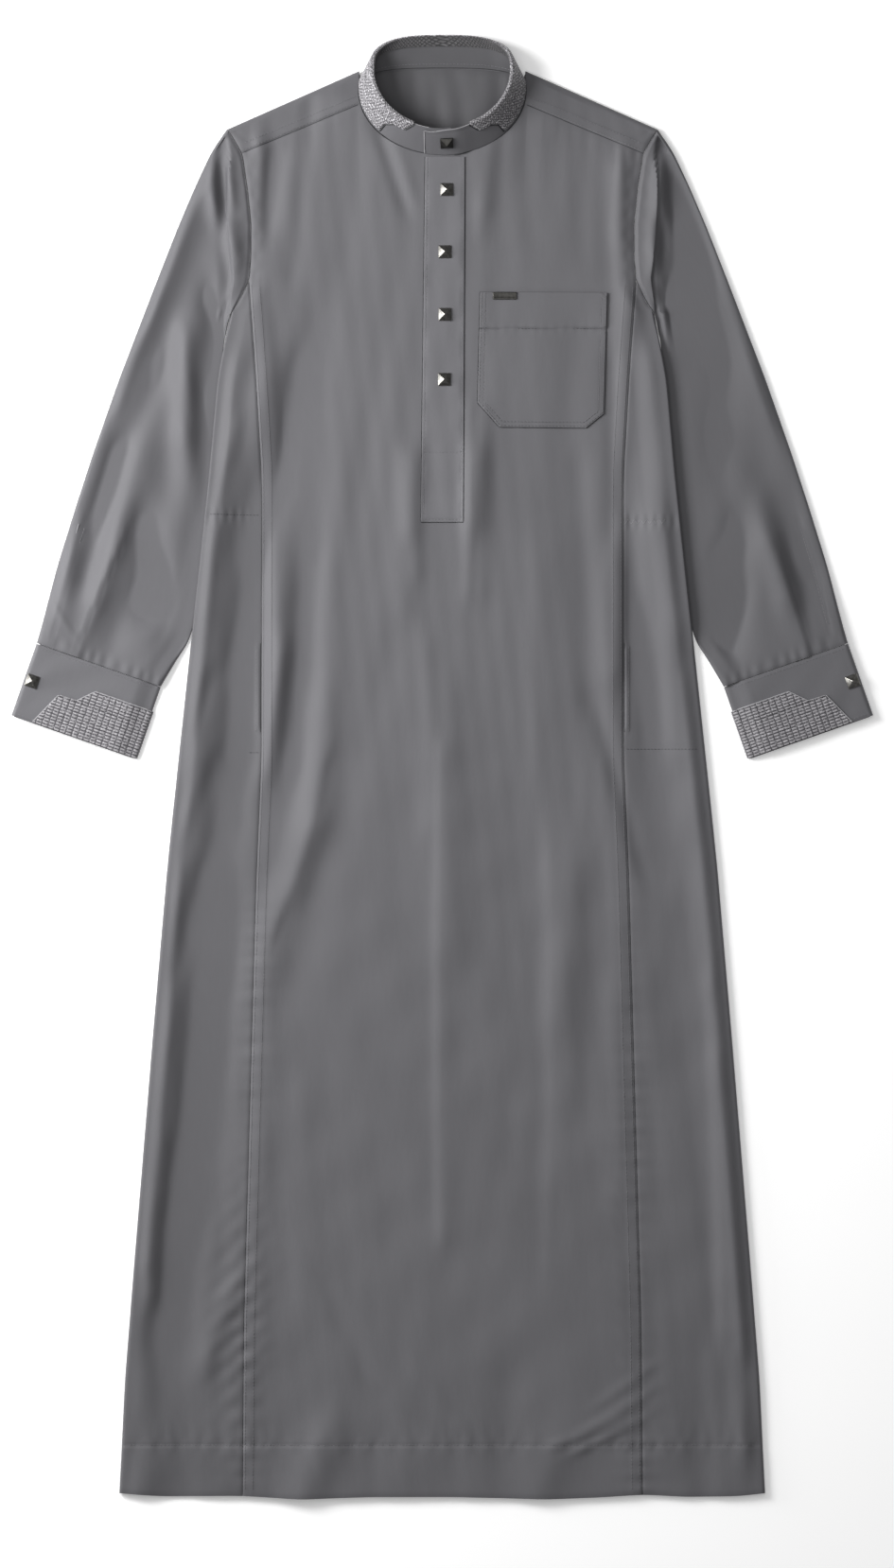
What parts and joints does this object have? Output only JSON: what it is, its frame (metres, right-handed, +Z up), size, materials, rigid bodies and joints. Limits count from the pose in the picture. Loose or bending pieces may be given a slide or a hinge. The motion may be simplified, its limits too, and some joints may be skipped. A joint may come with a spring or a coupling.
{
  "type": "thobe robe",
  "caption": "Long grey robe laid flat: standing collar and cuffs with contrast trim, stepped trim ends, square metal studs and a chest pocket.",
  "frame": {"origin": "centre of the bounding box in plan, on the surface that the robe lies on", "axes": "+X to the right as seen from above with the collar up, +Y from hem to collar, +Z up from the surface through the front"},
  "size_m": [0.8746, 1.4859, 0.0355],
  "materials": {
    "cloth": "plain grey robe cloth with a soft sheen",
    "trim": "small raised grid weave, silver grey with a sheen",
    "metal": "dark gunmetal"
  },
  "bodies": {
    "root": {"front_panel": "cloth", "back_panel": "cloth", "yoke": "cloth", "side_panel_left": "cloth", "side_panel_right": "cloth", "sleeve_left": "cloth", "sleeve_right": "cloth", "cuff_left": "cloth", "cuff_right": "cloth", "collar_band": "cloth", "placket": "cloth", "chest_pocket": "cloth", "collar_trim": "trim", "cuff_trim_left": "trim", "cuff_trim_right": "trim", "pocket_plate": "metal", "stud_collar": "metal", "stud_front_1": "metal", "stud_front_2": "metal", "stud_front_3": "metal", "stud_front_4": "metal", "stud_cuff_left": "metal", "stud_cuff_right": "metal"}
  },
  "joints": []
}
